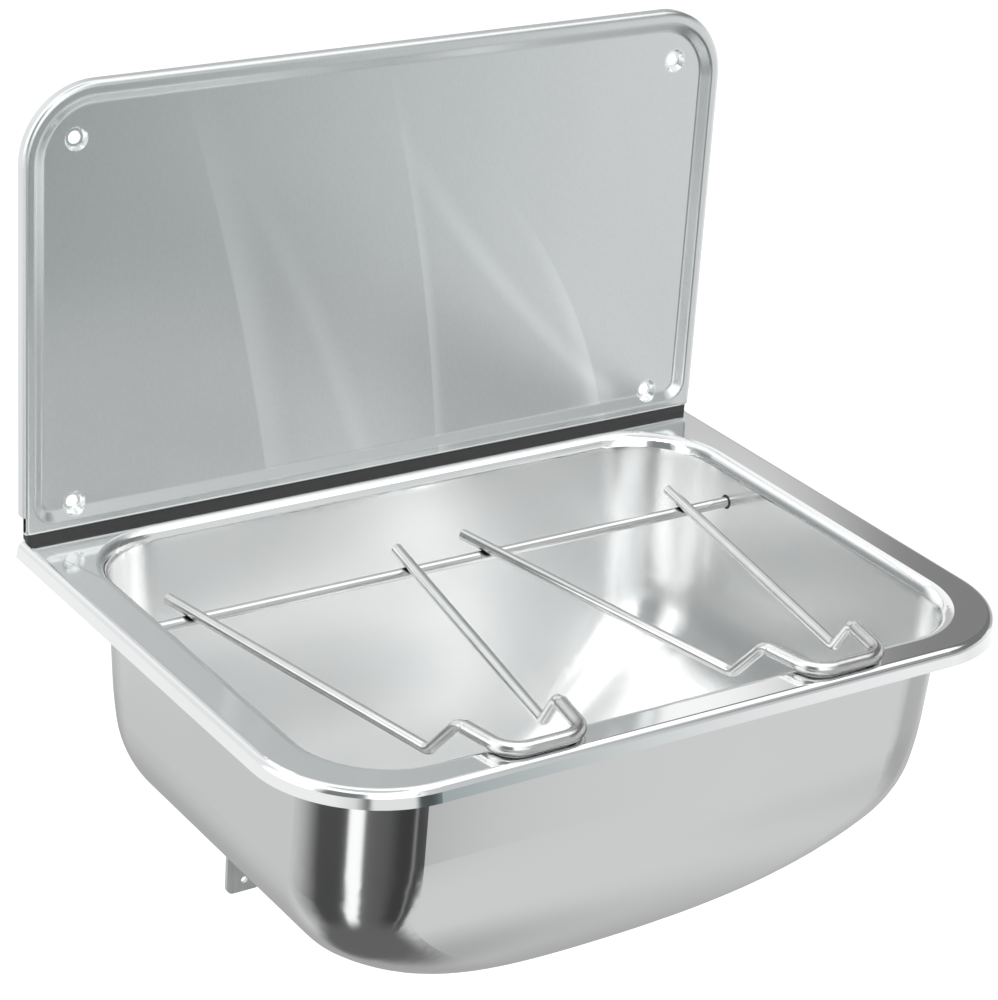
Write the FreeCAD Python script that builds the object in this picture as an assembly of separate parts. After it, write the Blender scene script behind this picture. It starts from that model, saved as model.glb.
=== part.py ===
import FreeCAD, Part
import math
import os

os.makedirs("parts", exist_ok=True)
V = FreeCAD.Vector

# Wall-hung utility sink in pressed stainless sheet, with a splashback and a hinged bucket grate.
# Millimetres. While it is built, the wall is the plane y = 0, the front faces -Y and the rim's flat
# top is z = 0. At the end every piece is lowered so that the origin is the middle of the wall screws.

# Sheet and rim
sheet = 1.0
rim_width = 500.0
rim_depth = 370.0
rim_edge_height = 10.0
rim_roll_radius = 5.0
rim_edge_flare = 12.0
rim_corner_radius = 74.0
upstand_height = 26.0
upstand_bend_radius = 3.0
upstand_side_gap = 1.0

# Bowl: a U-shaped section along Y, closed by a front and a back that turn into wide arcs
side_ledge = 32.0
front_ledge = 28.0
rear_ledge = 22.0
mouth_roll_radius = 8.0
bowl_depth = 213.0
bowl_side_draft = 1.5
bowl_side_radius = 70.0
bowl_floor_radius = 301.0
bowl_end_draft = 4.0
bowl_end_radius = 200.0
bowl_end_drop = 41.5
bowl_edge_radius = 53.0

# Drain seat pressed into the bowl's floor
drain_from_bowl_rear = 143.0
drain_seat_radius = 44.0
drain_seat_depth = 3.0
drain_seat_slope = 45.0
drain_hole_radius = 26.0

# Splashback: a pressed tray with a rolled edge and a recessed field
panel_side_inset = 2.5
panel_top = 284.0
panel_bottom = 4.0
panel_depth = 8.0
panel_roll_radius = 3.5
panel_corner_radius = 47.0
panel_low_corner_radius = 5.0
panel_border = 7.5
panel_low_border = 7.0
panel_recess = 4.0
panel_recess_corner_radius = 13.0
panel_step_run = 6.0
panel_step_radius = 4.0
panel_notch_height = 13.0
panel_notch_depth = 2.0

# Wall screw dimples in the splashback
screw_from_side = 35.0
screw_from_top = 34.2
screw_above_field_edge = 2.8
screw_hole_radius = 4.0
dimple_mouth_radius = 7.5
dimple_floor_radius = 5.5
dimple_clearance = 1.5

# Seal in the joint between splashback and rim
seal_setback = 1.5
seal_end_gap = 1.0

# Bucket grate
rod_diameter = 7.0
rod_from_bowl_rear = 73.0
rod_below_rim = 26.0
wire_diameter = 7.0
weld_sink = 0.6
loop_wall_gap = 29.3
loop_middle_gap = 42.0
loop_tail = 20.5
loop_low_half = 38.0
loop_low_from_bowl_front = 39.0
loop_top_half = 32.5
loop_top_from_bowl_front = 20.0
loop_end_half = 25.0
loop_end_from_rim_edge = 8.5
loop_bend_radius = 8.0
loop_end_radius = 16.0
sleeve_wall = 0.75
sleeve_gap = 0.1
sleeve_start = 1.0
rest_gap = 0.3

# Blind bushes that carry the rod in the bowl's side walls
bush_radius = 4.8
bush_wall_gap = 0.05
bush_flange_radius = 8.5
bush_flange_thickness = 2.0
bush_cap_thickness = 1.5
rod_running_gap = 0.05
rod_engagement = 5.0
rod_end_gap = 0.4

# Lower wall brackets
bracket_spacing = 170.0
bracket_width = 26.0
bracket_thickness = 3.0
bracket_bend_radius = 3.0
bracket_below_mouth_roll = 8.0
bracket_above_end_arc = 3.0
bracket_web_drop = 32.0
bracket_foot_below_rim = 290.0
bracket_hole_from_foot = 8.5
bracket_hole_radius = 2.5
bracket_corner_radius = 5.0

# Waste
gasket_thickness = 2.0
gasket_bore_gap = 1.0
top_gasket_width = 6.0
bottom_gasket_width = 11.0
strainer_thickness = 1.2
strainer_flange_radius = 36.0
strainer_hole_gap = 0.8
strainer_cup_depth = 9.0
strainer_hole_radius = 3.0
strainer_ring_count = 8
strainer_ring_radius = 15.5
body_wall = 3.5
body_flange_radius = 40.0
body_flange_thickness = 3.0
body_cup_gap = 1.8
body_cup_depth = 9.0
body_cone_height = 6.0
outlet_radius = 23.9
outlet_length = 20.0
boss_radius = 7.0
boss_height = 8.0
boss_rib_thickness = 3.0
boss_rib_count = 3
screw_radius = 3.0
screw_gap = 0.05
screw_head_radius = 6.0
screw_head_height = 3.0

# Places worked out from the driving dimensions
half_rim = rim_width / 2
half_panel = half_rim - panel_side_inset
upstand_back = -(panel_depth - panel_recess - sheet) + sheet
upstand_front = upstand_back - sheet
half_upstand = half_panel - sheet - upstand_side_gap
wall_in = half_rim - side_ledge
front_in = -(rim_depth - front_ledge)
rear_in = -rear_ledge
drain_y = rear_in - drain_from_bowl_rear
border_y = -panel_depth
field_y = border_y + panel_recess
field_bottom = panel_bottom + panel_low_border + panel_step_run
low_screw_z = field_bottom + screw_above_field_edge
screw_rows = (low_screw_z, panel_top - screw_from_top)
screw_columns = (screw_from_side - half_panel, half_panel - screw_from_side)
screw_middle_z = sum(screw_rows) / 2
side_lean = math.radians(bowl_side_draft)
end_lean = math.radians(bowl_end_draft)
rod_y = rear_in - rod_from_bowl_rear
rod_z = -rod_below_rim
rod_radius = rod_diameter / 2
rod_wall = wall_in + rod_z * math.tan(side_lean)
wire_radius = wire_diameter / 2
sleeve_bore = wire_radius + sleeve_gap
sleeve_radius = sleeve_bore + sleeve_wall
leg_z = rod_z + rod_radius + wire_radius - weld_sink
loop_outer_end = rod_wall - loop_wall_gap - wire_radius
loop_inner_end = loop_middle_gap / 2 + wire_radius
loop_centre = (loop_outer_end + loop_inner_end) / 2
loop_rear_half = (loop_outer_end - loop_inner_end) / 2
loop_end_z = rest_gap + sleeve_radius
seat_z = -bowl_depth - drain_seat_depth
far = 2 * (rim_width + rim_depth)


# Helpers
def box(x0, x1, y0, y1, z0, z1):
    return Part.makeBox(x1 - x0, y1 - y0, z1 - z0, V(x0, y0, z0))


def line(a, b):
    return Part.LineSegment(a, b).toShape()


def arc(a, middle, b):
    return Part.Arc(a, middle, b).toShape()


def fused(shapes):
    whole = shapes[0]
    for shape in shapes[1:]:
        whole = whole.fuse(shape)
    return whole.removeSplitter()


def edges_at(shape, axis, level, reach=None):
    """Edges that lie in the plane where the axis has this level, within reach of the Z axis's two sides."""
    found = []
    for edge in shape.Edges:
        b = edge.BoundBox
        low = (b.XMin, b.YMin, b.ZMin)[axis]
        high = (b.XMax, b.YMax, b.ZMax)[axis]
        if abs(low - level) > 1e-4 or abs(high - level) > 1e-4:
            continue
        if reach and not (reach[0] < b.XMin and b.XMax < reach[1] and reach[2] < b.YMin and b.YMax < reach[3]):
            continue
        found.append(edge)
    return found


def rounded_path(points, radii):
    """Straight runs joined by tangent arcs; radii are those of the inner points."""
    edges = []
    start = points[0]
    for before, corner, after, radius in zip(points, points[1:], points[2:], radii):
        u = (before - corner).normalize()
        w = (after - corner).normalize()
        half = u.getAngle(w) / 2
        run = radius / math.tan(half)
        middle = (u + w).normalize()
        centre = corner + middle * (radius / math.sin(half))
        a = corner + u * run
        b = corner + w * run
        edges.append(line(start, a))
        edges.append(arc(a, centre - middle * radius, b))
        start = b
    edges.append(line(start, points[-1]))
    return Part.Wire(edges)


def tube_solid(path, radius):
    first = path.OrderedEdges[0]
    start = first.valueAt(first.FirstParameter)
    along = first.tangentAt(first.FirstParameter)
    ring = Part.Wire([Part.makeCircle(radius, start, along)])
    return path.makePipeShell([ring], True, False)


def turned(points, centre):
    """Solid of revolution about the upright through centre, from radius and height points."""
    corners = [V(centre.x + r, centre.y, z) for r, z in points]
    face = Part.Face(Part.makePolygon(corners + corners[:1]))
    return face.revolve(V(centre.x, centre.y, 0), V(0, 0, 1), 360)


def ring(inner, outer, low, high, centre):
    return turned([(inner, low), (outer, low), (outer, high), (inner, high)], centre)


# Bowl
def bowl_section(inset):
    """U-shaped face in the plane y = 0: drafted walls, lower corner arcs and a wide floor arc."""
    outward = V(math.cos(side_lean), 0, -math.sin(side_lean))
    down = V(-math.sin(side_lean), 0, -math.cos(side_lean))
    corner_radius = bowl_side_radius - inset
    floor_radius = bowl_floor_radius - inset
    wall = V(wall_in + (sheet - inset) / math.cos(side_lean), 0, 0)
    floor_z = -bowl_depth - (sheet - inset)
    floor_centre = V(0, 0, floor_z + floor_radius)
    base = wall - outward * corner_radius
    back = base - floor_centre
    along = back.dot(down)
    reach = -along + math.sqrt(along**2 - back.dot(back) + (floor_radius - corner_radius) ** 2)
    corner_centre = base + down * reach
    toward = (corner_centre - floor_centre).normalize()
    top = wall - down * rim_edge_height
    wall_end = corner_centre + outward * corner_radius
    middle = (outward + toward).normalize()
    corner_middle = corner_centre + middle * corner_radius
    floor_end = corner_centre + toward * corner_radius
    floor_low = V(0, 0, floor_z)

    def mirrored(p):
        return V(-p.x, p.y, p.z)

    edges = [
        line(mirrored(top), top),
        line(top, wall_end),
        arc(wall_end, corner_middle, floor_end),
        arc(floor_end, floor_low, mirrored(floor_end)),
        arc(mirrored(floor_end), mirrored(corner_middle), mirrored(wall_end)),
        line(mirrored(wall_end), mirrored(top)),
    ]
    return Part.Face(Part.Wire(edges))


def end_arc(wall, toward, inset):
    """Centre of the wide arc below the front or back wall, and the end of that wall; toward is inward along Y."""
    radius = bowl_end_radius - inset
    centre_z = -bowl_depth - bowl_end_drop - (sheet - inset) + radius
    level = wall - toward * (sheet - inset) / math.cos(end_lean)
    centre_y = level + toward * (radius / math.cos(end_lean) - centre_z * math.tan(end_lean))
    inward = V(0, toward * math.cos(end_lean), math.sin(end_lean))
    centre = V(0, centre_y, centre_z)
    return centre, centre - inward * radius, level


def end_block(wall, toward, inset, high):
    """Block across the bowl whose front or back is a drafted wall that turns into a wide arc."""
    centre, wall_end, level = end_arc(wall, toward, inset)
    up = V(0, 0, 1)
    radius = bowl_end_radius - inset
    top = V(0, level - toward * high * math.tan(end_lean), high)
    middle = centre + ((wall_end - centre) - up * radius).normalize() * radius
    low = centre - up * radius
    low_far = low + V(0, toward * far, 0)
    top_far = V(0, low_far.y, high)
    edges = [
        line(top, wall_end),
        arc(wall_end, middle, low),
        line(low, low_far),
        line(low_far, top_far),
        line(top_far, top),
    ]
    face = Part.Face(Part.Wire(edges))
    face.translate(V(-far / 2, 0, 0))
    return face.extrude(V(far, 0, 0))


def bowl_solid(inset, top):
    """The bowl filled up to a level; inset is the distance inward from its outer surface."""
    high = rim_edge_height / 2
    along = bowl_section(inset)
    along.translate(V(0, far / 2, 0))
    trough = along.extrude(V(0, -far, 0))
    front = end_block(front_in, 1, inset, high)
    rear = end_block(rear_in, -1, inset, high)
    solid = trough.common(front).common(rear)
    creases = []
    for edge in solid.Edges:
        point = edge.valueAt((edge.FirstParameter + edge.LastParameter) / 2)
        place = Part.Vertex(point)
        gaps = [block.Shells[0].distToShape(place)[0] for block in (trough, front, rear)]
        if point.z < high - 1e-3 and gaps[0] < 1e-3 and min(gaps[1:]) < 1e-3:
            creases.append(edge)
    solid = solid.makeFillet(bowl_edge_radius - inset, creases)
    return solid.common(box(-far, far, -far, far, -far, top))


def drain_seat(inset):
    """Flat-bottomed press in the floor; it runs up past the floor so that it opens into the bowl."""
    low = seat_z - (sheet - inset)
    slope = math.radians(drain_seat_slope)
    height = drain_seat_depth + drain_seat_radius**2 / bowl_floor_radius
    low_radius = drain_seat_radius + (sheet - inset) * math.tan(slope / 2)
    high_radius = low_radius + height * math.tan(slope)
    return Part.makeCone(low_radius, high_radius, height, V(0, drain_y, low))


def rim_outline(inset, z, rear):
    """Rim outline at a height, with rounded front corners and square back corners; the edge flares downward."""
    flare = math.radians(rim_edge_flare)
    shrink = (z + rim_edge_height) * math.tan(flare) + inset / math.cos(flare)
    x = half_rim - shrink
    front = -rim_depth + shrink
    r = rim_corner_radius - shrink
    bend = r * math.sqrt(0.5)
    edges = [
        line(V(-x, rear, z), V(-x, front + r, z)),
        arc(V(-x, front + r, z), V(-x + r - bend, front + r - bend, z), V(-x + r, front, z)),
        line(V(-x + r, front, z), V(x - r, front, z)),
        arc(V(x - r, front, z), V(x - r + bend, front + r - bend, z), V(x, front + r, z)),
        line(V(x, front + r, z), V(x, rear, z)),
        line(V(x, rear, z), V(-x, rear, z)),
    ]
    return Part.Wire(edges)


def rim_block(inset, low, high, rear):
    """Solid inside the rim's outline, its top edge rolled at the front and sides."""
    block = Part.makeLoft([rim_outline(inset, low, rear), rim_outline(inset, high, rear)], True, True)
    top = [e for e in edges_at(block, 2, high) if e.BoundBox.YMin < rear - 1e-3]
    return block.makeFillet(rim_roll_radius - inset, top)


def make_basin():
    rim = rim_block(0, -rim_edge_height, 0, upstand_back)
    under = rim_block(sheet, -2 * rim_edge_height, -sheet, upstand_back + rim_depth)
    plate = rim.cut(under)
    upstand = box(-half_upstand, half_upstand, upstand_front, upstand_back, -sheet / 2, upstand_height)
    outer = bowl_solid(0, -sheet / 2).fuse(drain_seat(0))
    inner = bowl_solid(sheet, rim_edge_height / 2).fuse(drain_seat(sheet))
    basin = fused([plate, outer, upstand]).cut(inner)
    mouth = (-wall_in - 2 * sheet, wall_in + 2 * sheet, front_in - 2 * sheet, rear_in + 2 * sheet)
    basin = basin.makeFillet(mouth_roll_radius - sheet, edges_at(basin, 2, -sheet, mouth))
    basin = basin.makeFillet(mouth_roll_radius, edges_at(basin, 2, 0, mouth))
    bend = [e for e in edges_at(basin, 2, 0) if abs(e.BoundBox.YMin - upstand_front) < 1e-4
            and abs(e.BoundBox.YMax - upstand_front) < 1e-4]
    basin = basin.makeFillet(upstand_bend_radius, bend)
    cuts = [Part.makeCylinder(drain_hole_radius, 4 * drain_seat_depth, V(0, drain_y, seat_z - 2 * drain_seat_depth))]
    cuts.append(Part.makeCylinder(bush_radius + bush_wall_gap, far, V(-far / 2, rod_y, rod_z), V(1, 0, 0)))
    for x in screw_columns:
        room = dimple_mouth_radius + sheet + dimple_clearance
        cuts.append(Part.makeCylinder(room, panel_depth, V(x, -panel_depth, low_screw_z), V(0, 1, 0)))
    return basin.cut(cuts)


# Splashback
def panel_outline(inset, low_inset, low_radius, y):
    """Outline of the tray, with large top corners and small bottom ones."""
    x = half_panel - inset
    low = panel_bottom + low_inset
    high = panel_top - inset
    r = panel_corner_radius - inset
    s = low_radius
    k = 1 - math.sqrt(0.5)
    edges = [
        line(V(-x + s, y, low), V(x - s, y, low)),
        arc(V(x - s, y, low), V(x - s * k, y, low + s * k), V(x, y, low + s)),
        line(V(x, y, low + s), V(x, y, high - r)),
        arc(V(x, y, high - r), V(x - r * k, y, high - r * k), V(x - r, y, high)),
        line(V(x - r, y, high), V(-x + r, y, high)),
        arc(V(-x + r, y, high), V(-x + r * k, y, high - r * k), V(-x, y, high - r)),
        line(V(-x, y, high - r), V(-x, y, low + s)),
        arc(V(-x, y, low + s), V(-x + s * k, y, low + s * k), V(-x + s, y, low)),
    ]
    return Part.Wire(edges)


def tray_block(inset, back):
    outline = panel_outline(inset, inset, panel_low_corner_radius - inset, back)
    block = Part.Face(outline).extrude(V(0, border_y + inset - back, 0))
    return block.makeFillet(panel_roll_radius - inset, edges_at(block, 1, border_y + inset))


def recess_block(inset):
    """Tapered block that presses the field back; inset moves its sloped sides to the sheet's back."""
    slope = panel_step_run / panel_recess
    shift = inset * math.sqrt(1 + slope**2)
    lead = panel_recess / 2
    wires = []
    for depth in (inset - lead, inset + panel_recess):
        extra = depth * slope - shift
        corner = panel_recess_corner_radius - extra
        wires.append(panel_outline(panel_border + extra, panel_low_border + extra, corner, border_y + depth))
    return Part.makeLoft(wires, True, True)


def pressed_block(inset, back):
    """Tray block with the field pressed in and the step's edges rounded."""
    block = tray_block(inset, back).cut(recess_block(inset))
    x = half_panel - panel_border / 2
    near = (-x, x, -far, far)
    block = block.makeFillet(panel_step_radius - inset, edges_at(block, 1, border_y + inset, near))
    return block.makeFillet(panel_step_radius + inset, edges_at(block, 1, field_y + inset))


def make_splashback():
    """Pressed tray; its screw dimples are cones below the field, with an upright wall where they cut the step."""
    front = pressed_block(0, 0)
    panel = front.cut(pressed_block(sheet, panel_depth))
    depth = -sheet - field_y
    taper = (dimple_mouth_radius - dimple_floor_radius) / depth
    wall = sheet * math.sqrt(1 + taper**2)
    wide = dimple_mouth_radius - taper * sheet + wall
    cups = []
    cuts = []
    for x in screw_columns:
        for z in screw_rows:
            back = field_y + sheet
            cup = Part.makeCone(wide, wide + taper * back, -back, V(x, back, z), V(0, 1, 0))
            collar = Part.makeCylinder(wide, back - border_y, V(x, border_y, z), V(0, 1, 0))
            cups.append(cup.fuse(collar).common(front))
            cuts.append(Part.makeCone(dimple_mouth_radius, dimple_floor_radius, depth, V(x, field_y, z), V(0, 1, 0)))
            cuts.append(Part.makeCylinder(dimple_mouth_radius, panel_depth, V(x, field_y - panel_depth, z), V(0, 1, 0)))
            cuts.append(Part.makeCylinder(screw_hole_radius, panel_depth, V(x, -panel_depth, z), V(0, 1, 0)))
    low = panel_bottom - 1
    notch_top = panel_bottom + panel_notch_height
    for side in (-1, 1):
        edge = side * (half_panel - panel_notch_depth)
        cuts.append(box(min(edge, 2 * edge), max(edge, 2 * edge), -far, far, low, notch_top))
    cuts.append(box(-half_upstand, half_upstand, upstand_front, panel_depth, low, panel_bottom + panel_roll_radius))
    return fused([panel] + cups).cut(cuts)


def make_seal(basin, splashback):
    x = half_upstand - seal_end_gap
    strip = box(-x, x, border_y + seal_setback, upstand_front, 0, panel_bottom + panel_roll_radius)
    pieces = strip.cut([basin, splashback]).Solids
    return max(pieces, key=lambda solid: solid.Volume)


# Bucket grate
def make_rod():
    half = rod_wall + sheet + rod_engagement
    return Part.makeCylinder(rod_radius, 2 * half, V(-half, rod_y, rod_z), V(1, 0, 0))


def loop_points(centre):
    left = [
        V(-loop_rear_half, rod_y + loop_tail, leg_z),
        V(-loop_low_half, front_in + loop_low_from_bowl_front, leg_z),
        V(-loop_top_half, front_in + loop_top_from_bowl_front, loop_end_z),
        V(-loop_end_half, -rim_depth + loop_end_from_rim_edge, loop_end_z),
    ]
    right = [V(-p.x, p.y, p.z) for p in reversed(left)]
    return [p + V(centre, 0, 0) for p in left + right]


def make_loop(centre, rod):
    radii = [loop_bend_radius, loop_bend_radius, loop_end_radius]
    path = rounded_path(loop_points(centre), radii + radii[::-1])
    return tube_solid(path, wire_radius).cut(rod)


def make_sleeve(centre):
    points = loop_points(centre)[2:6]
    turn = (points[0] - loop_points(centre)[1]).getAngle(points[1] - points[0])
    clear = loop_bend_radius * math.tan(turn / 2) + sleeve_start
    points[0] = points[0] + (points[1] - points[0]).normalize() * clear
    points[3] = points[3] + (points[2] - points[3]).normalize() * clear
    path = rounded_path(points, [loop_end_radius, loop_end_radius])
    return tube_solid(path, sleeve_radius).cut(tube_solid(path, sleeve_bore))


def make_bush(side):
    bore_end = rod_wall + sheet + rod_engagement + rod_end_gap
    start = V(rod_wall - bush_flange_thickness, rod_y, rod_z)
    along = V(1, 0, 0)
    body = Part.makeCylinder(bush_radius, bore_end + bush_cap_thickness - start.x, start, along)
    body = body.cut(bowl_solid(sheet, -sheet))
    flange_length = 2 * bush_flange_thickness + sheet
    flange = Part.makeCylinder(bush_flange_radius, flange_length, start, along).cut(bowl_solid(0, -sheet))
    bore = Part.makeCylinder(rod_radius + rod_running_gap, bore_end - start.x, start, along)
    bush = fused([body, flange]).cut(bore)
    if side < 0:
        bush = bush.mirror(V(0, 0, 0), V(1, 0, 0))
    return bush


# Lower wall brackets
def strip_face(points, thickness):
    """Bent strip in the plane x = 0: the points run along one side, the thickness lies towards +Y."""
    normals = []
    for a, b in zip(points, points[1:]):
        d = (b - a).normalize()
        normals.append(V(0, -d.z, d.y))
    back = [points[0] + normals[0] * thickness]
    for corner, n, m in zip(points[1:], normals, normals[1:]):
        back.append(corner + (n + m) * (thickness / (1 + n.dot(m))))
    back.append(points[-1] + normals[-1] * thickness)
    outline = points + back[::-1]
    return Part.Face(Part.makePolygon(outline + outline[:1])), points[1:-1], back[1:-1]


def make_bracket(side):
    arc_centre, wall_end, level = end_arc(rear_in, -1, 0)

    def rear_wall(z):
        return V(0, level + z * math.tan(end_lean), z)

    weld_low = wall_end.z + bracket_above_end_arc
    foot = -bracket_foot_below_rim
    points = [
        rear_wall(-mouth_roll_radius - bracket_below_mouth_roll),
        rear_wall(weld_low),
        V(0, -bracket_thickness, weld_low - bracket_web_drop),
        V(0, -bracket_thickness, foot),
    ]
    face, front_bends, back_bends = strip_face(points, bracket_thickness)
    strip = face.extrude(V(bracket_width, 0, 0))
    wide = bracket_bend_radius + bracket_thickness
    upper_in, lower_out = back_bends[0], back_bends[1]
    for place, radius in ((upper_in, bracket_bend_radius), (front_bends[0], wide),
                          (front_bends[1], bracket_bend_radius), (lower_out, wide)):
        bends = [e for e in strip.Edges if all(abs(v.Point.y - place.y) + abs(v.Point.z - place.z) < 1e-3
                                               for v in e.Vertexes)]
        strip = strip.makeFillet(radius, bends)
    corners = [e for e in strip.Edges if all(abs(v.Point.z - foot) < 1e-4 for v in e.Vertexes)
               and e.BoundBox.XLength < 1e-4]
    strip = strip.makeFillet(bracket_corner_radius, corners)
    hole_z = foot + bracket_hole_from_foot
    hole = Part.makeCylinder(bracket_hole_radius, 3 * bracket_thickness,
                             V(bracket_width / 2, -2 * bracket_thickness, hole_z), V(0, 1, 0))
    strip = strip.cut(hole)
    strip.translate(V(side * bracket_spacing / 2 - bracket_width / 2, 0, 0))
    return strip


# Waste
drain = V(0, drain_y, 0)
gasket_bore = drain_hole_radius + gasket_bore_gap
flange_z = seat_z + gasket_thickness
cup_radius = drain_hole_radius - strainer_hole_gap
cup_floor = flange_z - strainer_cup_depth
body_top = seat_z - sheet - gasket_thickness
body_cup_radius = cup_radius + body_cup_gap
body_cup_floor = body_top - body_cup_depth
outlet_top = body_cup_floor - body_cone_height
outlet_bottom = outlet_top - outlet_length
boss_top = body_cup_floor - body_wall
boss_bottom = boss_top - boss_height


def make_top_gasket():
    return ring(gasket_bore, gasket_bore + top_gasket_width, seat_z, flange_z, drain)


def make_bottom_gasket():
    return ring(gasket_bore, gasket_bore + bottom_gasket_width, body_top, body_top + gasket_thickness, drain)


def make_strainer():
    t = strainer_thickness
    lip = flange_z + t
    profile = [
        (0, cup_floor), (cup_radius, cup_floor), (cup_radius, flange_z), (strainer_flange_radius, flange_z),
        (strainer_flange_radius - t, lip), (cup_radius - t, lip), (cup_radius - t, cup_floor + t), (0, cup_floor + t),
    ]
    cup = turned(profile, drain)
    cuts = [Part.makeCylinder(screw_radius + screw_gap, 3 * t, V(0, drain_y, cup_floor - t))]
    for k in range(strainer_ring_count):
        turn = 2 * math.pi * k / strainer_ring_count
        place = V(strainer_ring_radius * math.cos(turn), drain_y + strainer_ring_radius * math.sin(turn), cup_floor - t)
        cuts.append(Part.makeCylinder(strainer_hole_radius, 3 * t, place))
    return cup.cut(cuts)


def make_body():
    outlet_bore = outlet_radius - body_wall
    profile = [
        (body_cup_radius, body_top), (body_flange_radius, body_top),
        (body_flange_radius, body_top - body_flange_thickness),
        (body_cup_radius + body_wall, body_top - body_flange_thickness),
        (body_cup_radius + body_wall, body_cup_floor), (outlet_radius, outlet_top),
        (outlet_radius, outlet_bottom), (outlet_bore, outlet_bottom),
        (outlet_bore, outlet_top), (body_cup_radius, body_cup_floor),
    ]
    shell = turned(profile, drain)
    boss = Part.makeCylinder(boss_radius, boss_height, V(0, drain_y, boss_bottom))
    ribs = []
    reach = outlet_radius - body_wall / 2
    for k in range(boss_rib_count):
        rib = box(0, reach, -boss_rib_thickness / 2, boss_rib_thickness / 2, boss_bottom, outlet_top)
        rib.rotate(V(0, 0, 0), V(0, 0, 1), 360 * k / boss_rib_count)
        rib.translate(drain)
        ribs.append(rib)
    hole = Part.makeCylinder(screw_radius + screw_gap, 2 * boss_height, V(0, drain_y, boss_bottom - boss_height / 2))
    return fused([shell, boss] + ribs).cut(hole)


def make_screw():
    head_low = cup_floor + strainer_thickness
    head_top = head_low + screw_head_height
    profile = [
        (0, boss_bottom), (screw_radius, boss_bottom), (screw_radius, head_low), (screw_head_radius, head_low),
        (screw_head_radius, head_low + screw_head_height / 2), (screw_head_radius / 2, head_top), (0, head_top),
    ]
    return turned(profile, drain)


# Assembly
def make_parts():
    basin = make_basin()
    splashback = make_splashback()
    rod = make_rod()
    parts = {
        "basin": basin,
        "splashback": splashback,
        "splashback_seal": make_seal(basin, splashback),
        "hinge_rod": rod,
        "waste_strainer": make_strainer(),
        "waste_top_gasket": make_top_gasket(),
        "waste_bottom_gasket": make_bottom_gasket(),
        "waste_body": make_body(),
        "waste_screw": make_screw(),
    }
    for name, side in (("left", -1), ("right", 1)):
        parts["bucket_loop_" + name] = make_loop(side * loop_centre, rod)
        parts["sleeve_" + name] = make_sleeve(side * loop_centre)
        parts["rod_bush_" + name] = make_bush(side)
        parts["wall_bracket_" + name] = make_bracket(side)
    return parts


for name, shape in make_parts().items():
    shape.translate(V(0, 0, -screw_middle_z))
    shape.exportStep("parts/" + name + ".step")
    print(name, "solids", len(shape.Solids), "valid", shape.isValid(), "volume", round(shape.Volume))
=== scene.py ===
import math

import bpy
from bpy.props import FloatProperty, FloatVectorProperty, PointerProperty
from mathutils import Matrix, Vector


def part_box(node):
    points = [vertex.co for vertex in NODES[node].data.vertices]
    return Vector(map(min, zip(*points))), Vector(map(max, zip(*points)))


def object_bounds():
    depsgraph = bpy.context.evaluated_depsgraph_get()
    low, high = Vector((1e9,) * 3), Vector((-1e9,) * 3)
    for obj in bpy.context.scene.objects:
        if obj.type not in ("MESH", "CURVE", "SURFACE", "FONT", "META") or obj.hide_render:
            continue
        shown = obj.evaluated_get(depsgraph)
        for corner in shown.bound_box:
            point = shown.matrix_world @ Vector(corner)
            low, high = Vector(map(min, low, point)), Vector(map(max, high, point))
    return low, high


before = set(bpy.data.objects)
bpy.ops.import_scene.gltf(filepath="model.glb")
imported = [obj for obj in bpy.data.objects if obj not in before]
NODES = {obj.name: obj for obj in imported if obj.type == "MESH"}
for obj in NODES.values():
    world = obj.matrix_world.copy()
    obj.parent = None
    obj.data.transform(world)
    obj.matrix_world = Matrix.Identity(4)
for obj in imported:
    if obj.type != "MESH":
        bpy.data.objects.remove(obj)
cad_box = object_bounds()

bl_info = {
    "name": "Wall-hung utility sink",
    "version": (1, 0, 0),
    "blender": (4, 5, 0),
    "location": "View3D > Sidebar > Sink",
    "description": "Finishes and stage for a stainless utility sink with a splashback and a bucket grate",
    "category": "Object",
}

# Measures in metres
SLEEVE_REST_GAP = 0.0003
RIM_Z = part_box("sleeve_left")[0].z - SLEEVE_REST_GAP
BOWL_MIDDLE = (0.0, -0.182, RIM_Z)
ROD_LOW, ROD_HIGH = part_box("hinge_rod")
ROD_Y = (ROD_LOW.y + ROD_HIGH.y) / 2
WELD_DEPTH = 0.0003
WELD_Z = ROD_HIGH.z - WELD_DEPTH
# The loops cross the rod this far left and right of the middle
WELD_PLACES = (0.0283, 0.1807)
PANEL_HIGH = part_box("splashback")[1]
# How far the screw holes lie inside the splashback's edges
SCREW_INSET_X = 0.035
SCREW_INSET_Z = 0.0342
SCREW_X = PANEL_HIGH.x - SCREW_INSET_X
SCREW_Z = PANEL_HIGH.z - SCREW_INSET_Z
FLOOR_DROP = 0.75
FLOOR_SIZE = 30.0


# Node helpers
def add(tree, kind, **values):
    """A node of this kind; values name its attributes or, if they are sockets, its inputs."""
    made = tree.nodes.new(kind)
    for name, value in values.items():
        if hasattr(made, name):
            setattr(made, name, value)
        else:
            made.inputs[name.replace("_", " ")].default_value = value
    return made


def join(tree, source, target):
    """Links two sockets."""
    tree.links.new(source, target)


def feed(tree, value, target):
    """Joins a socket to the target, or sets the target to a number or a colour."""
    if isinstance(value, bpy.types.NodeSocket):
        join(tree, value, target)
    elif isinstance(value, tuple):
        target.default_value = (*value, 1)
    else:
        target.default_value = value


def math_node(tree, operation, *values):
    """Result of an operation on sockets and numbers."""
    made = add(tree, "ShaderNodeMath", operation=operation)
    for value, target in zip(values, made.inputs):
        feed(tree, value, target)
    return made.outputs[0]


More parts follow.
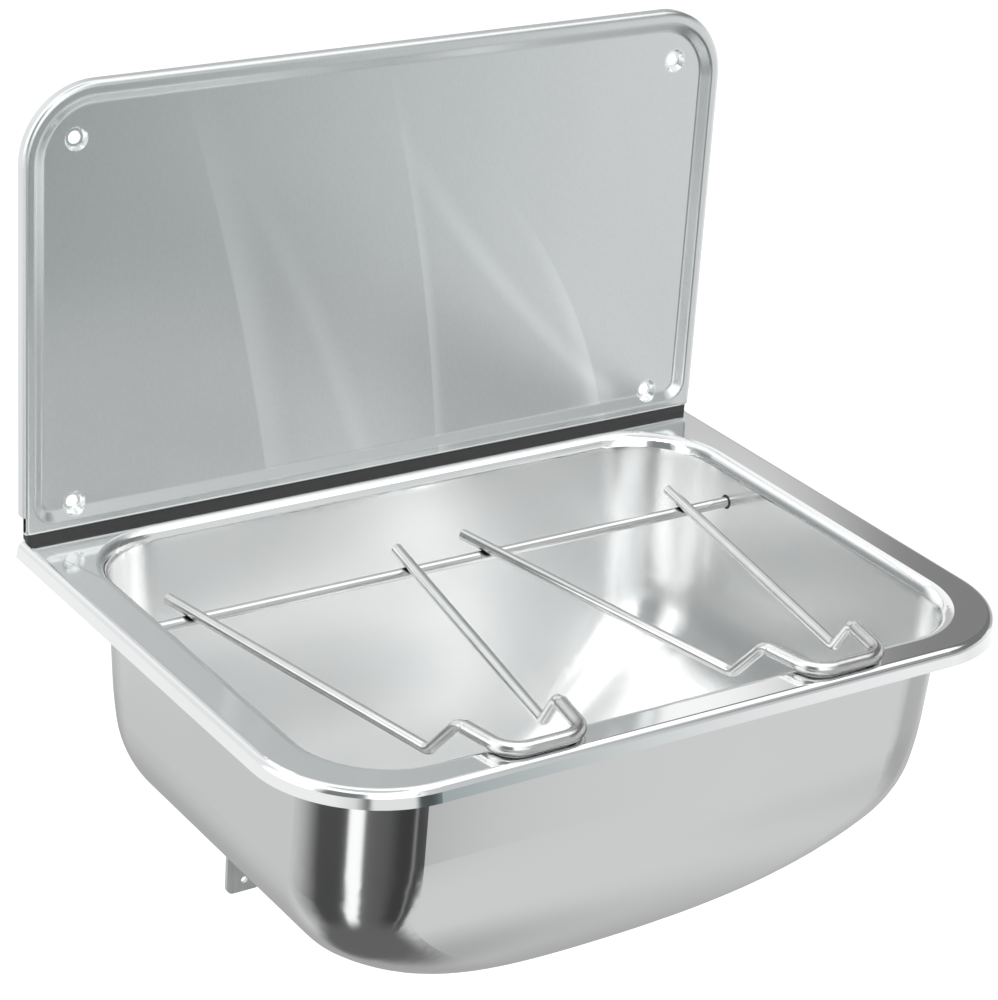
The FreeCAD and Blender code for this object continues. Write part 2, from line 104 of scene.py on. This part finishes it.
def mix_colour(tree, factor, first, second):
    """Colour between the first and the second by the factor."""
    made = add(tree, "ShaderNodeMix", data_type="RGBA", clamp_factor=True)
    for place, value in ((0, factor), (6, first), (7, second)):
        feed(tree, value, made.inputs[place])
    return made.outputs[2]


def mix_number(tree, factor, first, second):
    """Number between the first and the second by the factor."""
    made = add(tree, "ShaderNodeMix", data_type="FLOAT", clamp_factor=True)
    for place, value in ((0, factor), (2, first), (3, second)):
        feed(tree, value, made.inputs[place])
    return made.outputs[0]


def between(tree, source, low, high, out_low=0.0, out_high=1.0):
    """Smooth step of a value between two levels."""
    made = add(tree, "ShaderNodeMapRange", interpolation_type="SMOOTHSTEP",
               From_Min=low, From_Max=high, To_Min=out_low, To_Max=out_high)
    join(tree, source, made.inputs["Value"])
    return made.outputs["Result"]


def ramp(tree, source, stops):
    """Colour ramp; stops are pairs of place and colour."""
    made = add(tree, "ShaderNodeValToRGB")
    elements = made.color_ramp.elements
    while len(elements) < len(stops):
        elements.new(0.5)
    for element, (place, colour) in zip(elements, stops):
        element.position = place
        element.color = (*colour, 1)
    join(tree, source, made.inputs["Fac"])
    return made.outputs["Color"]


def noise(tree, scale, stretch=(1, 1, 1)):
    """Noise on the object's own coordinates, stretched along its axes."""
    sized = add(tree, "ShaderNodeMapping")
    sized.inputs["Scale"].default_value = stretch
    join(tree, add(tree, "ShaderNodeTexCoord").outputs["Object"], sized.inputs["Vector"])
    made = add(tree, "ShaderNodeTexNoise", Scale=scale, Detail=3.0)
    join(tree, sized.outputs["Vector"], made.inputs["Vector"])
    return made.outputs["Fac"]


def split_axes(tree, coordinates):
    """X, Y and Z of the named texture coordinates."""
    split = add(tree, "ShaderNodeSeparateXYZ")
    join(tree, add(tree, "ShaderNodeTexCoord").outputs[coordinates], split.inputs[0])
    return split.outputs


def distance(tree, *offsets):
    """Distance from the offsets along the axes."""
    total = 0.0
    for offset in offsets:
        total = math_node(tree, "MULTIPLY_ADD", offset, offset, total)
    return math_node(tree, "SQRT", total)


# Finishes
BUMP_DEPTH = 0.0001
# Parts of the noise's range over which a roughness goes from its lowest to its highest
SOFT_SPAN = (0.3, 0.7)
GRAIN_SPAN = (0.25, 0.75)
WIDE_SPAN = (0.2, 0.8)
# The rim's polish fades out between these depths below it
POLISH_DEPTHS = (0.013, 0.007)
# How much a roughness varies to either side
BOWL_SPREAD = 0.015
PANEL_SPREAD = 0.01
WIRE_SPREAD = 0.03
MATT_SPREAD = 0.1
# Each painted light streak: x = a + b z + c z^2, width of its sharp and soft side, lowest and highest z,
# strength
PAINTED_LIGHT_STREAKS = (
    (-0.1034, -0.241, -0.286, 0.002, 0.024, -0.14, 0.17, 0.4),
    (-0.0603, -0.494, -0.639, 0.01, 0.016, -0.15, 0.12, 0.25),
    (0.0286, -0.19, -0.368, 0.0015, 0.008, -0.16, 0.16, 0.45),
    (0.0732, -0.828, 1.167, 0.012, 0.014, -0.12, 0.12, 0.45),
    (0.1196, -0.662, -1.723, 0.014, 0.002, -0.14, 0.05, 0.55),
)
# A painted light streak starts within this height and fades over this share of its length
MARK_START = 0.03
MARK_FADE = 0.6
# The painted light streaks are this much lighter than the sheet, and this much rougher
STREAK_LIGHT = 1.35
MARK_ROUGHNESS = 0.12
# Faces whose normal has a lower Y look to the front
FRONT_NORMAL = -0.9
GRAIN_SHARE = 0.6
# The dimples' painted highlight and the painted shade where the loops cross the rod fade out between these
# distances from their middle
DIMPLE_REACH = (0.0085, 0.007)
# The dimples get a painted highlight ring this much lighter than the sheet, and are smoother
DIMPLE_HIGHLIGHT = 1.25
DIMPLE_ROUGHNESS = 0.22
CROSSING_SHADE_REACH = (0.0052, 0.0035)
# Painted shade in the crevices where the loops sit on the rod
CROSSING_SHADE_COLOUR = (0.05, 0.045, 0.04)
CROSSING_SHADE_ROUGHNESS = 0.5
BRACKET_ROUGHNESS = (0.3, 0.45)
SLEEVE_ROUGHNESS = (0.12, 0.18)
SLEEVE_IOR = 1.47


def start_material(name, metallic=0.0):
    """A new material, its node tree and its shader."""
    material = bpy.data.materials.new(name)
    material.use_nodes = True
    shader = material.node_tree.nodes["Principled BSDF"]
    shader.inputs["Metallic"].default_value = metallic
    return material, material.node_tree, shader


def shaded(colour, factor):
    """The colour, darker or lighter by the factor."""
    return tuple(min(1.0, factor * c) for c in colour)


def tinted(tree, colour, source, spread):
    """The colour, darker and lighter by the spread where the source is low and high."""
    return ramp(tree, source, ((0.0, shaded(colour, 1 - spread)), (1.0, shaded(colour, 1 + spread))))


def add_bump(tree, shader, height, strength):
    """A fine relief on the surface."""
    bump = add(tree, "ShaderNodeBump", Strength=strength, Distance=BUMP_DEPTH)
    join(tree, height, bump.inputs["Height"])
    join(tree, bump.outputs["Normal"], shader.inputs["Normal"])


def dress(material, *names):
    """Gives the named pieces this material and no other."""
    for name in names:
        slots = NODES[name].data.materials
        slots.clear()
        slots.append(material)


def inside_bowl(tree):
    """One on faces that look towards the middle of the bowl's mouth, nothing on those that look away."""
    here = add(tree, "ShaderNodeNewGeometry")
    away = add(tree, "ShaderNodeVectorMath", operation="SUBTRACT")
    away.inputs[1].default_value = BOWL_MIDDLE
    join(tree, here.outputs["Position"], away.inputs[0])
    facing = add(tree, "ShaderNodeVectorMath", operation="DOT_PRODUCT")
    join(tree, away.outputs["Vector"], facing.inputs[0])
    join(tree, here.outputs["Normal"], facing.inputs[1])
    return math_node(tree, "LESS_THAN", facing.outputs["Value"], 0.0)


def basin_steel(finish):
    """Drawn sheet with a polished rim, a bright outside and a softer inside; the inside is painted a lighter
    colour, standing in for the light in the bowl.
    """
    material, tree, shader = start_material("basin_steel", metallic=1.0)
    cloud = noise(tree, scale=7.0)
    inside = inside_bowl(tree)
    outer = tinted(tree, finish.bowl_colour, cloud, spread=0.05)
    # Painted light: the inside gets a lighter copy of the steel's colour
    inner = tinted(tree, finish.lit_inside_colour, cloud, spread=0.05)
    join(tree, mix_colour(tree, inside, outer, inner), shader.inputs["Base Color"])
    bowl = mix_number(tree, inside, finish.outside_roughness, finish.inside_roughness)
    bowl = math_node(tree, "ADD", bowl, between(tree, cloud, *SOFT_SPAN, -BOWL_SPREAD, BOWL_SPREAD))
    start, full = POLISH_DEPTHS
    polished = between(tree, split_axes(tree, "Object")["Z"], RIM_Z - start, RIM_Z - full)
    rough = mix_number(tree, polished, bowl, finish.polished_roughness)
    join(tree, rough, shader.inputs["Roughness"])
    return material


def painted_light_streaks(tree, x, z):
    """Pale curved streaks of reflected light painted on the splashback, each with a sharp and a soft side.
    """
    total = 0.0
    for a, b, c, sharp, soft, low, high, strength in PAINTED_LIGHT_STREAKS:
        slope = math_node(tree, "MULTIPLY_ADD", z, c, b)
        curve = math_node(tree, "MULTIPLY_ADD", slope, z, a)
        offset = math_node(tree, "SUBTRACT", x, curve)
        left = between(tree, offset, -sharp, 0)
        right = between(tree, offset, soft, 0)
        across = math_node(tree, "MULTIPLY", left, right)
        foot = between(tree, z, low, low + MARK_START)
        head = between(tree, z, high, high - MARK_FADE * (high - low))
        along = math_node(tree, "MULTIPLY", foot, head)
        mark = math_node(tree, "MULTIPLY", across, along)
        total = math_node(tree, "MULTIPLY_ADD", mark, strength, total)
    return total


def screw_dimples(tree, x, z):
    """One in the pressed dimples round the four screw holes."""
    across = math_node(tree, "SUBTRACT", math_node(tree, "ABSOLUTE", x), SCREW_X)
    upright = math_node(tree, "SUBTRACT", math_node(tree, "ABSOLUTE", z), SCREW_Z)
    return between(tree, distance(tree, across, upright), *DIMPLE_REACH)


def panel_steel(finish):
    """Fine satin sheet with pale streaks of reflected light painted on its front, and screw dimples painted
    lighter as their highlight.
    """
    material, tree, shader = start_material("panel_steel", metallic=1.0)
    axes = split_axes(tree, "Object")
    grain = noise(tree, scale=900.0, stretch=(1, 1, 0.5))
    cloud = noise(tree, scale=10.0, stretch=(1, 1, 0.3))
    mottle = math_node(tree, "MULTIPLY", cloud, 1 - GRAIN_SHARE)
    mottle = math_node(tree, "MULTIPLY_ADD", grain, GRAIN_SHARE, mottle)
    plain = tinted(tree, finish.panel_colour, mottle, spread=0.1)
    front = math_node(tree, "LESS_THAN", split_axes(tree, "Normal")["Y"], FRONT_NORMAL)
    # Painted reflected light: streaks on the front faces get a lighter colour and more roughness
    light_streaks = math_node(tree, "MULTIPLY", painted_light_streaks(tree, axes["X"], axes["Z"]), front)
    colour = mix_colour(tree, light_streaks, plain, shaded(finish.panel_colour, STREAK_LIGHT))
    dimples = screw_dimples(tree, axes["X"], axes["Z"])
    # Painted highlight: the dimples round the screw holes get a lighter colour
    colour = mix_colour(tree, dimples, colour, shaded(finish.panel_colour, DIMPLE_HIGHLIGHT))
    join(tree, colour, shader.inputs["Base Color"])
    rough = finish.panel_roughness
    rough = between(tree, grain, *GRAIN_SPAN, rough - PANEL_SPREAD, rough + PANEL_SPREAD)
    rough = math_node(tree, "MULTIPLY_ADD", light_streaks, MARK_ROUGHNESS, rough)
    join(tree, mix_number(tree, dimples, rough, DIMPLE_ROUGHNESS), shader.inputs["Roughness"])
    return material


def crossing_shade(tree):
    """One where the loops are welded to the rod, for the shade painted in the crevices there."""
    axes = split_axes(tree, "Object")
    fold = math_node(tree, "ABSOLUTE", axes["X"])
    along = math_node(tree, "SUBTRACT", axes["Y"], ROD_Y)
    upright = math_node(tree, "SUBTRACT", axes["Z"], WELD_Z)
    total = 0.0
    for place in WELD_PLACES:
        across = math_node(tree, "SUBTRACT", fold, place)
        near = between(tree, distance(tree, across, along, upright), *CROSSING_SHADE_REACH)
        total = math_node(tree, "ADD", near, total)
    return total


def wire_steel(finish):
    """Drawn bright wire, with shade painted near black where the loops cross the rod."""
    material, tree, shader = start_material("wire_steel", metallic=1.0)
    grain = noise(tree, scale=600.0)
    cloud = noise(tree, scale=40.0)
    painted_shade = crossing_shade(tree)
    plain = tinted(tree, finish.wire_colour, cloud, spread=0.125)
    # Painted shade: the wire turns near black where the loops cross the rod
    join(tree, mix_colour(tree, painted_shade, plain, CROSSING_SHADE_COLOUR), shader.inputs["Base Color"])
    rough = finish.wire_roughness
    rough = between(tree, grain, *WIDE_SPAN, rough - WIRE_SPREAD, rough + WIRE_SPREAD)
    join(tree, mix_number(tree, painted_shade, rough, CROSSING_SHADE_ROUGHNESS), shader.inputs["Roughness"])
    return material


def bracket_steel(finish):
    """Mill-finished strip."""
    material, tree, shader = start_material("bracket_steel", metallic=1.0)
    grain = noise(tree, scale=500.0, stretch=(1, 1, 0.1))
    join(tree, tinted(tree, finish.bracket_colour, grain, spread=0.2), shader.inputs["Base Color"])
    join(tree, between(tree, grain, *WIDE_SPAN, *BRACKET_ROUGHNESS), shader.inputs["Roughness"])
    add_bump(tree, shader, grain, strength=0.1)
    return material


def clear_sleeve(finish):
    """Clear soft plastic tube."""
    material, tree, shader = start_material("clear_sleeve")
    shader.inputs["Transmission Weight"].default_value = 1.0
    shader.inputs["IOR"].default_value = SLEEVE_IOR
    cloud = noise(tree, scale=120.0)
    join(tree, tinted(tree, finish.sleeve_colour, cloud, spread=0.075), shader.inputs["Base Color"])
    join(tree, between(tree, cloud, *SOFT_SPAN, *SLEEVE_ROUGHNESS), shader.inputs["Roughness"])
    return material


def matt_material(name, colour, scale, rough):
    """Moulded rubber or plastic with a fine matt grain."""
    material, tree, shader = start_material(name)
    grain = noise(tree, scale)
    join(tree, tinted(tree, colour, grain, spread=0.5), shader.inputs["Base Color"])
    rough = between(tree, grain, *GRAIN_SPAN, rough - MATT_SPREAD, rough + MATT_SPREAD)
    join(tree, rough, shader.inputs["Roughness"])
    add_bump(tree, shader, grain, strength=0.2)
    return material


# Settings
class SinkFinish(bpy.types.PropertyGroup):
    """Colours and roughness of the pieces"""
    bowl_colour: FloatVectorProperty(
        name="Bowl colour", description="Colour of the bowl's steel", subtype="COLOR", size=3,
        min=0, max=1, default=(0.76, 0.765, 0.77))
    # Painted light: the inside is the same steel, given a lighter colour to brighten the bowl
    lit_inside_colour: FloatVectorProperty(
        name="Inside colour", description="Colour of the bowl's bright inside", subtype="COLOR", size=3,
        min=0, max=1, default=(0.92, 0.925, 0.925))
    panel_colour: FloatVectorProperty(
        name="Splashback colour", description="Colour of the splashback's steel", subtype="COLOR", size=3,
        min=0, max=1, default=(0.69, 0.71, 0.71))
    wire_colour: FloatVectorProperty(
        name="Wire colour", description="Colour of the grate's wire", subtype="COLOR", size=3,
        min=0, max=1, default=(0.7, 0.7, 0.695))
    bracket_colour: FloatVectorProperty(
        name="Bracket colour", description="Colour of the wall brackets", subtype="COLOR", size=3,
        min=0, max=1, default=(0.6, 0.61, 0.61))
    sleeve_colour: FloatVectorProperty(
        name="Sleeve colour", description="Colour of the clear sleeves", subtype="COLOR", size=3,
        min=0, max=1, default=(0.93, 0.93, 0.935))
    rubber_colour: FloatVectorProperty(
        name="Rubber colour", description="Colour of seal and gaskets", subtype="COLOR", size=3,
        min=0, max=1, default=(0.045, 0.045, 0.046))
    bush_colour: FloatVectorProperty(
        name="Bush colour", description="Colour of the rod's bushes", subtype="COLOR", size=3,
        min=0, max=1, default=(0.04, 0.04, 0.042))
    waste_colour: FloatVectorProperty(
        name="Waste colour", description="Colour of the moulded waste", subtype="COLOR", size=3,
        min=0, max=1, default=(0.8, 0.8, 0.78))
    outside_roughness: FloatProperty(
        name="Outside roughness", description="Roughness of the bowl's outside", subtype="FACTOR", min=0.03,
        max=0.9, default=0.13)
    inside_roughness: FloatProperty(
        name="Inside roughness", description="Roughness of the bowl's inside", subtype="FACTOR", min=0.03,
        max=0.9, default=0.25)
    polished_roughness: FloatProperty(
        name="Polished roughness", description="Roughness of the rim", subtype="FACTOR", min=0, max=0.9,
        default=0.1)
    panel_roughness: FloatProperty(
        name="Splashback roughness", description="Roughness of the splashback", subtype="FACTOR", min=0.07,
        max=0.9, default=0.3)
    wire_roughness: FloatProperty(
        name="Wire roughness", description="Roughness of the wire", subtype="FACTOR", min=0.05, max=0.9,
        default=0.16)


class SinkStage(bpy.types.PropertyGroup):
    """Camera and floor"""
    eye: FloatVectorProperty(
        name="Camera place", description="Where the camera stands", subtype="TRANSLATION", unit="LENGTH",
        size=3, default=(-0.988487, -1.58359, 0.692872))
    azimuth: FloatProperty(
        name="Azimuth", description="Turn of the camera round the upright", subtype="ANGLE", unit="ROTATION",
        default=math.radians(-34.536))
    elevation: FloatProperty(
        name="Elevation", description="Height of the camera above the level", subtype="ANGLE",
        unit="ROTATION", default=math.radians(24.328))
    roll: FloatProperty(
        name="Roll", description="Turn of the camera about its own axis", subtype="ANGLE", unit="ROTATION",
        default=math.radians(3.871))
    lens: FloatProperty(
        name="Lens", description="Focal length for a 36 mm frame", subtype="DISTANCE_CAMERA",
        default=114.2745)
    floor_colour: FloatVectorProperty(
        name="Floor colour", description="Colour of the floor", subtype="COLOR", size=3, min=0, max=1,
        default=(0.86, 0.86, 0.86))


# Pieces
class SINK_OT_basin(bpy.types.Operator):
    """Finish the steel of the basin and the strainer"""
    bl_idname = "sink.basin"
    bl_label = "Basin"

    def execute(self, context):
        dress(basin_steel(context.scene.sink_finish), "basin", "waste_strainer")
        return {"FINISHED"}


class SINK_OT_splashback(bpy.types.Operator):
    """Finish the splashback's steel"""
    bl_idname = "sink.splashback"
    bl_label = "Splashback"

    def execute(self, context):
        dress(panel_steel(context.scene.sink_finish), "splashback")
        return {"FINISHED"}


class SINK_OT_grate(bpy.types.Operator):
    """Finish the grate's rod, loops and sleeves, and the waste screw"""
    bl_idname = "sink.grate"
    bl_label = "Bucket grate"

    def execute(self, context):
        finish = context.scene.sink_finish
        dress(wire_steel(finish), "hinge_rod", "bucket_loop_left", "bucket_loop_right", "waste_screw")
        dress(clear_sleeve(finish), "sleeve_left", "sleeve_right")
        return {"FINISHED"}


class SINK_OT_rubber(bpy.types.Operator):
    """Finish the seal, the gaskets and the rod's bushes"""
    bl_idname = "sink.rubber"
    bl_label = "Seal, gaskets and bushes"

    def execute(self, context):
        finish = context.scene.sink_finish
        rubber = matt_material("black_rubber", finish.rubber_colour, scale=900.0, rough=0.6)
        # The splashback seal is a black strip in the gap under the splashback, which gives the dark band
        # there
        dress(rubber, "splashback_seal", "waste_top_gasket", "waste_bottom_gasket")
        plastic = matt_material("black_plastic", finish.bush_colour, scale=700.0, rough=0.45)
        dress(plastic, "rod_bush_left", "rod_bush_right")
        return {"FINISHED"}


class SINK_OT_brackets(bpy.types.Operator):
    """Finish the lower wall brackets"""
    bl_idname = "sink.brackets"
    bl_label = "Wall brackets"

    def execute(self, context):
        dress(bracket_steel(context.scene.sink_finish), "wall_bracket_left", "wall_bracket_right")
        return {"FINISHED"}


class SINK_OT_waste(bpy.types.Operator):
    """Finish the moulded body of the waste"""
    bl_idname = "sink.waste"
    bl_label = "Waste"

    def execute(self, context):
        finish = context.scene.sink_finish
        plastic = matt_material("waste_plastic", finish.waste_colour, scale=500.0, rough=0.5)
        dress(plastic, "waste_body")
        return {"FINISHED"}


# Stage
# Brightness of the surroundings by azimuth in degrees: 0 is the front, positive towards the left
LOW_RING = (
    (-180, 0.5), (-150, 0.42), (-135, 0.45), (-120, 0.55), (-105, 0.62), (-85, 0.72), (-60, 0.78),
    (-37, 0.78), (-33, 0.07), (-22.5, 0.05), (-20.5, 0.6), (-18.5, 0.05), (0, 0.06), (15, 0.12),
    (44, 0.16), (48, 1.3), (64.5, 1.3), (67, 0.12), (75, 0.08), (105, 0.08), (113, 0.2), (128, 0.46),
    (150, 0.72), (180, 0.5),
)
LEVEL_RING = (
    (-180, 0.9), (-140, 1.2), (-100, 1.2), (-60, 1.05), (-40, 1.15), (-35, 1.0), (-31, 0.62),
    (-27, 0.34), (-21, 0.1), (0, 0.08), (32, 0.12), (42, 0.9), (60, 1.1), (160, 1.1), (180, 0.9),
)
HIGH_RING = (
    (-180, 0.95), (-150, 1.0), (-120, 1.1), (-100, 1.15), (-75, 0.9), (-45, 0.6), (-38, 0.7),
    (-21, 0.74), (-14, 1.3), (-2, 1.5), (8, 1.8), (27, 2.0), (31, 1.5), (35, 0.45), (42, 0.25),
    (68, 0.25), (80, 1.5), (92, 1.9), (122, 1.9), (132, 1.0), (145, 1.0), (160, 1.2), (180, 0.95),
)
# Heights are sines of the elevation
# Each ring, from below: heights between which it fades in, stops, and how much red its dark walls lose
RINGS = (
    (-0.94, -0.84, LOW_RING, 0.0),
    (-0.5, -0.41, LEVEL_RING, 0.2),
    (-0.1, 0.02, HIGH_RING, 0.08),
)
# Each cap above the rings: heights between which it fades in, and brightness
CAPS = (
    (0.68, 0.8, 1.6),
    (0.945, 0.965, 0.75),
)
# Each card: azimuth from and to, elevation from and to, softness, all in degrees, and brightness
CARDS = (
    (-165, -100, 4, 24.5, 2.0, 0.55),
    (-139, -50, 19, 44, 2.0, 0.22),
    (-104, -58, -46, -28, 9.0, 0.48),
    (-37, -25, -30, -23, 3.0, 0.95),
    (-60, -38, 15, 32, 3.0, 0.3),
    (-8, 30, -20, -1, 2.5, 0.95),
)
# A wall loses red below this brightness, and the whole share at the second one
PALE_LEVEL = 0.9
DARK_LEVEL = 0.3
BELOW_LEVEL = 0.15
MATT_LEVEL = 0.8
WHITE_LEVEL = 1.0
FLOOR_GLOW = 0.4
FLOOR_ROUGHNESS = 0.9
LAMP_PLACE = (0.1, -0.5, 2.0)
LAMP_TARGET = (0, -0.2, -0.13)
LAMP_SIZE = 2.0
LAMP_POWER = 14.0
SENSOR_WIDTH = 36.0


def grey(level):
    """A colour without hue."""
    return (level, level, level)


def card_mask(tree, turn, rise, sides):
    """One inside the card, fading over its soft border."""
    right, left, low, high, soft = [math.radians(side) for side in sides]
    across = math_node(tree, "MULTIPLY", between(tree, turn, right - soft, right + soft),
                       between(tree, turn, left + soft, left - soft))
    upright = math_node(tree, "MULTIPLY", between(tree, rise, low - soft, low + soft),
                        between(tree, rise, high + soft, high - soft))
    return math_node(tree, "MULTIPLY", across, upright)


def ring_colour(tree, around, stops, green):
    """Brightness by azimuth; green takes red out of the darker walls."""
    shades = []
    for turn, level in stops:
        darkness = (PALE_LEVEL - level) / (PALE_LEVEL - DARK_LEVEL)
        red = 1 - green * max(0.0, min(1.0, darkness))
        shades.append(((turn + 180) / 360, (red * level, level, level)))
    return ramp(tree, around, shades)


def make_surround(scene):
    """White backdrop; the steel sees rings of pale walls, dark and pale cards and bright strips."""
    world = bpy.data.worlds.new("studio")
    scene.world = world
    world.use_nodes = True
    tree = world.node_tree
    axes = split_axes(tree, "Generated")
    across = math_node(tree, "MULTIPLY", axes["X"], -1.0)
    forward = math_node(tree, "MULTIPLY", axes["Y"], -1.0)
    turn = math_node(tree, "ARCTAN2", across, forward)
    around = math_node(tree, "MULTIPLY_ADD", turn, 0.5 / math.pi, 0.5)
    height = axes["Z"]
    rise = math_node(tree, "ARCSINE", height)
    room = grey(BELOW_LEVEL)
    for start, full, stops, green in RINGS:
        room = mix_colour(tree, between(tree, height, start, full), room,
                          ring_colour(tree, around, stops, green))
    for *sides, level in CARDS:
        room = mix_colour(tree, card_mask(tree, turn, rise, sides), room, grey(level))
    for start, full, level in CAPS:
        room = mix_colour(tree, between(tree, height, start, full), room, grey(level))
    rays = add(tree, "ShaderNodeLightPath").outputs
    mirrored = math_node(tree, "MAXIMUM", rays["Is Glossy Ray"], rays["Is Transmission Ray"])
    seen = mix_colour(tree, mirrored, grey(MATT_LEVEL), room)
    colour = mix_colour(tree, rays["Is Camera Ray"], seen, grey(WHITE_LEVEL))
    join(tree, colour, tree.nodes["Background"].inputs["Color"])


def make_floor(scene, stage):
    """Plain pale floor far below the sink; a little glow makes it white, and the shadow still shows."""
    z = cad_box[0][2] - FLOOR_DROP
    size = FLOOR_SIZE
    mesh = bpy.data.meshes.new("floor")
    corners = [(-size, -size, z), (size, -size, z), (size, size, z), (-size, size, z)]
    mesh.from_pydata(corners, [], [(0, 1, 2, 3)])
    floor = bpy.data.objects.new("floor", mesh)
    scene.collection.objects.link(floor)
    material, tree, shader = start_material("floor")
    shader.inputs["Base Color"].default_value = (*stage.floor_colour, 1)
    shader.inputs["Roughness"].default_value = FLOOR_ROUGHNESS
    shader.inputs["Emission Color"].default_value = (1, 1, 1, 1)
    rays = add(tree, "ShaderNodeLightPath").outputs
    glow = math_node(tree, "MULTIPLY", rays["Is Camera Ray"], FLOOR_GLOW)
    join(tree, glow, shader.inputs["Emission Strength"])
    mesh.materials.append(material)
    floor.visible_glossy = False


def make_lamp(scene):
    """One large soft lamp overhead, which the steel doesn't mirror."""
    data = bpy.data.lights.new("overhead", "AREA")
    data.shape = "RECTANGLE"
    data.size = LAMP_SIZE
    data.size_y = LAMP_SIZE
    data.energy = LAMP_POWER
    lamp = bpy.data.objects.new("overhead", data)
    lamp.location = LAMP_PLACE
    aim = Vector(LAMP_TARGET) - Vector(LAMP_PLACE)
    lamp.rotation_euler = aim.to_track_quat("-Z", "Y").to_euler()
    lamp.visible_glossy = False
    scene.collection.objects.link(lamp)


def make_camera(scene, stage):
    """Camera at its place, turned by azimuth, elevation and roll."""
    a, e, r = stage.azimuth, stage.elevation, stage.roll
    back = Vector((math.sin(a) * math.cos(e), -math.cos(a) * math.cos(e), math.sin(e)))
    right = Vector((math.cos(a), math.sin(a), 0))
    up = back.cross(right)
    side = right * math.cos(r) + up * math.sin(r)
    top = up * math.cos(r) - right * math.sin(r)
    data = bpy.data.cameras.new("camera")
    data.lens = stage.lens
    data.sensor_width = SENSOR_WIDTH
    camera = bpy.data.objects.new("camera", data)
    turn = Matrix((side, top, back)).transposed().to_4x4()
    camera.matrix_world = Matrix.Translation(Vector(stage.eye)) @ turn
    scene.collection.objects.link(camera)
    scene.camera = camera


class SINK_OT_stage(bpy.types.Operator):
    """Set up camera, surroundings, floor and lamp"""
    bl_idname = "sink.stage"
    bl_label = "Stage"

    def execute(self, context):
        scene = context.scene
        scene.view_settings.view_transform = "Standard"
        make_camera(scene, scene.sink_stage)
        make_surround(scene)
        make_floor(scene, scene.sink_stage)
        make_lamp(scene)
        return {"FINISHED"}


OPERATORS = (
    SINK_OT_basin, SINK_OT_splashback, SINK_OT_grate, SINK_OT_rubber, SINK_OT_brackets, SINK_OT_waste,
    SINK_OT_stage,
)


class SINK_PT_panel(bpy.types.Panel):
    """Settings and steps of the sink"""
    bl_idname = "SINK_PT_panel"
    bl_label = "Utility sink"
    bl_space_type = "VIEW_3D"
    bl_region_type = "UI"
    bl_category = "Sink"

    def draw(self, context):
        for settings in (context.scene.sink_finish, context.scene.sink_stage):
            box = self.layout.box()
            for name in settings.__annotations__:
                box.prop(settings, name)
        for operator in OPERATORS:
            self.layout.operator(operator.bl_idname)


CLASSES = (SinkFinish, SinkStage, *OPERATORS, SINK_PT_panel)


def register():
    for item in CLASSES:
        bpy.utils.register_class(item)
    bpy.types.Scene.sink_finish = PointerProperty(type=SinkFinish)
    bpy.types.Scene.sink_stage = PointerProperty(type=SinkStage)


def unregister():
    del bpy.types.Scene.sink_stage
    del bpy.types.Scene.sink_finish
    for item in reversed(CLASSES):
        bpy.utils.unregister_class(item)


def main():
    register()
    for operator in OPERATORS:
        group, name = operator.bl_idname.split(".")
        getattr(getattr(bpy.ops, group), name)()


if __name__ == "__main__":
    main()
